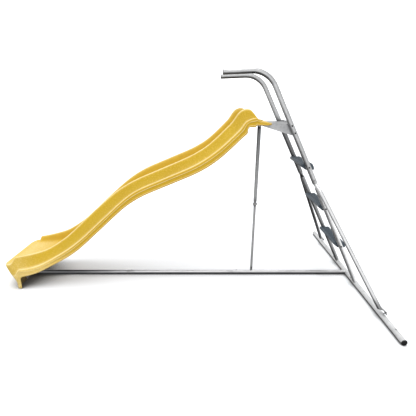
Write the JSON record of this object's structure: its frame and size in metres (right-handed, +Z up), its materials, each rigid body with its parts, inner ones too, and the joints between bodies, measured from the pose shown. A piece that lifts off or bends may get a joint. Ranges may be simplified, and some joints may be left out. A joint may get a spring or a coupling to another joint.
{
  "type": "wave slide",
  "caption": "Free-standing children's wave slide: moulded yellow chute with two humps, tubular steel frame, ladder with plastic treads and bent handrails.",
  "frame": {"origin": "on the ground, under the middle of the footprint", "axes": "+X from the exit of the chute towards the ladder, +Y to the far side, across the chute, +Z up"},
  "size_m": [3.3518, 1.9136, 1.9109],
  "materials": {
    "yellow_plastic": "moulded yellow polyethylene, satin, faint mould texture",
    "galvanised_tube": "pale galvanised steel tube, satin",
    "galvanised_sheet": "folded galvanised steel plate",
    "slate_plastic": "dark slate grey moulded plastic with a fine grain",
    "black_plastic": "black moulded end cap",
    "grey_plastic": "pale grey tube plug",
    "zinc_bolt": "zinc plated steel fastener",
    "dark_bolt": "blackened steel fastener"
  },
  "bodies": {
    "root": {"base_rail_front": "galvanised_tube", "base_rail_middle": "galvanised_tube", "base_rail_rear": "galvanised_tube", "base_rail_screw_front": "zinc_bolt", "base_rail_screw_middle": "zinc_bolt", "base_rail_screw_rear": "zinc_bolt", "brace_foot_bolt_far": "dark_bolt", "brace_foot_bolt_near": "dark_bolt", "brace_leg_far": "galvanised_tube", "brace_leg_near": "galvanised_tube", "crossbar_cap_far": "black_plastic", "crossbar_cap_near": "black_plastic", "crossbar_peg_screw_far": "dark_bolt", "crossbar_peg_screw_near": "dark_bolt", "deck_bolt_lower_far": "dark_bolt", "deck_bolt_lower_near": "dark_bolt", "deck_bolt_upper_far": "dark_bolt", "deck_bolt_upper_near": "dark_bolt", "ground_crossbar": "galvanised_tube", "handrail_far": "galvanised_tube", "handrail_near": "galvanised_tube", "handrail_plug_far": "grey_plastic", "handrail_plug_near": "grey_plastic", "lower_stile_far": "galvanised_tube", "lower_stile_near": "galvanised_tube", "platform_deck": "galvanised_sheet", "slide_chute": "yellow_plastic", "slide_lip_bolt_far": "dark_bolt", "slide_lip_bolt_near": "dark_bolt", "slide_toe_bolt_far": "dark_bolt", "slide_toe_bolt_near": "dark_bolt", "step_bolt_lower_far": "dark_bolt", "step_bolt_lower_near": "dark_bolt", "step_bolt_middle_far": "dark_bolt", "step_bolt_middle_near": "dark_bolt", "step_bolt_upper_far": "dark_bolt", "step_bolt_upper_near": "dark_bolt", "step_lower": "slate_plastic", "step_middle": "slate_plastic", "step_upper": "slate_plastic", "stile_foot_bolt_far": "zinc_bolt", "stile_foot_bolt_near": "zinc_bolt", "stile_joint_bolt_far": "zinc_bolt", "stile_joint_bolt_near": "zinc_bolt", "strut_foot_bolt": "dark_bolt", "strut_head_bolt": "dark_bolt", "strut_joint_bolt": "dark_bolt", "strut_lower": "galvanised_tube", "strut_upper": "galvanised_tube"}
  },
  "joints": []
}
